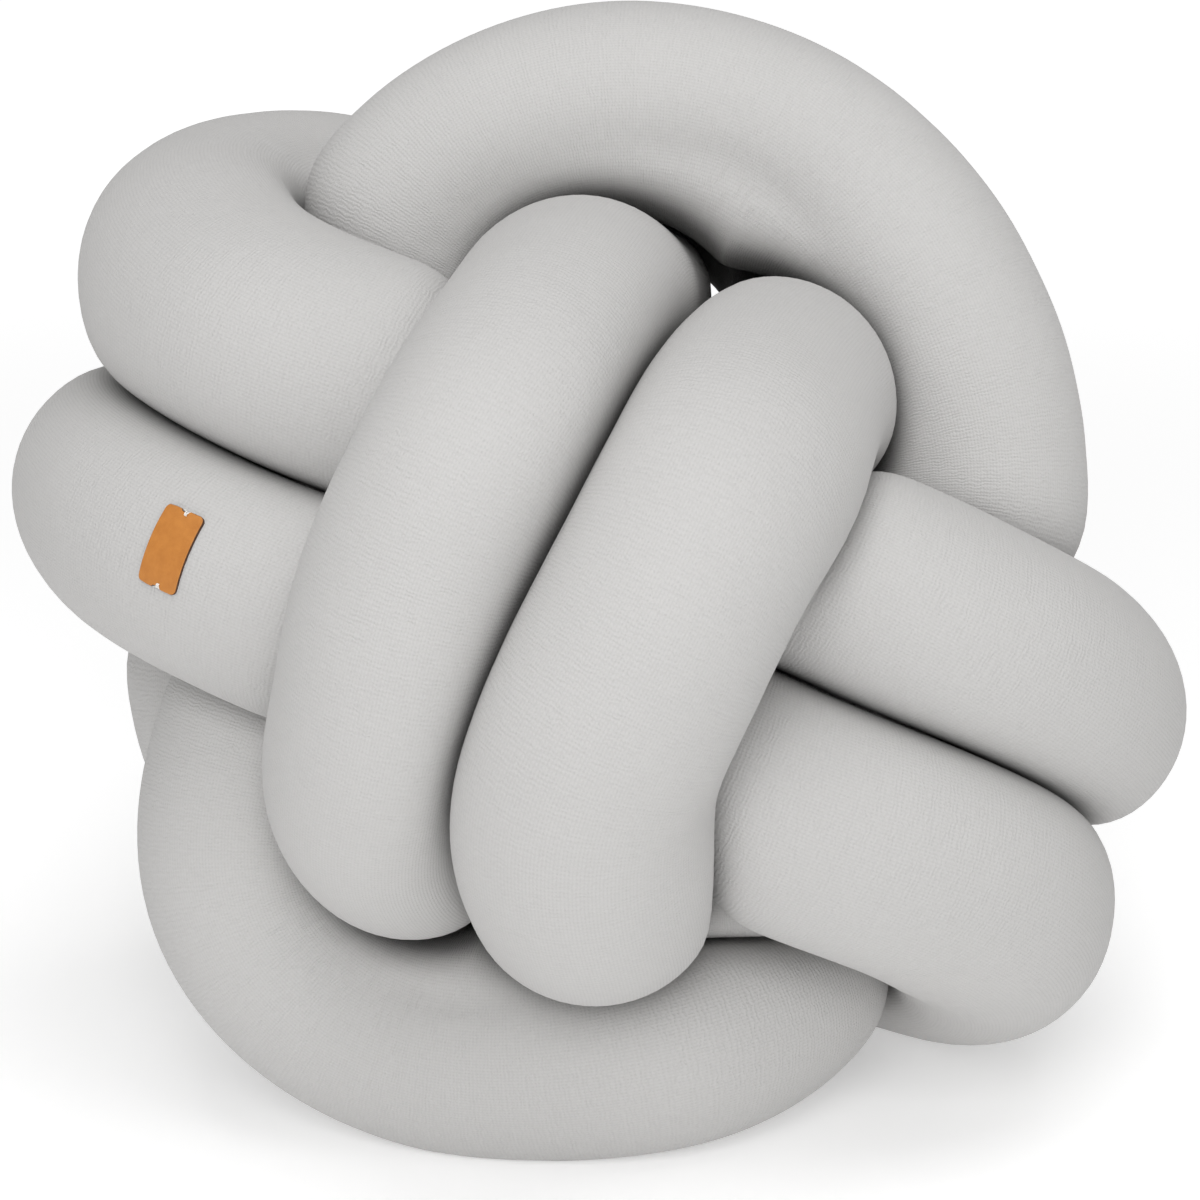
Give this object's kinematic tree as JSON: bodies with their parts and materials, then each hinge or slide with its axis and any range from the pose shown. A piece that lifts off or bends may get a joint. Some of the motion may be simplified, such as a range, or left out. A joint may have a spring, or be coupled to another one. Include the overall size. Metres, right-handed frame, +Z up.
{
  "type": "knot cushion",
  "caption": "Ball-shaped cushion tied from one thick stuffed jersey tube in a double-strand fist knot, with a small plain leather label.",
  "frame": {"origin": "middle of the ball's footprint, on the floor that it rests on", "axes": "+Z up; the face with two upright strands side by side looks towards -Y; +X to the right seen from there"},
  "size_m": [0.3628, 0.357, 0.3355],
  "materials": {
    "jersey": "soft brushed cotton jersey, light grey",
    "label_leather": "smooth tan leather, matt"
  },
  "bodies": {
    "root": {"knotted_tube": "jersey", "leather_label": "label_leather"}
  },
  "joints": []
}
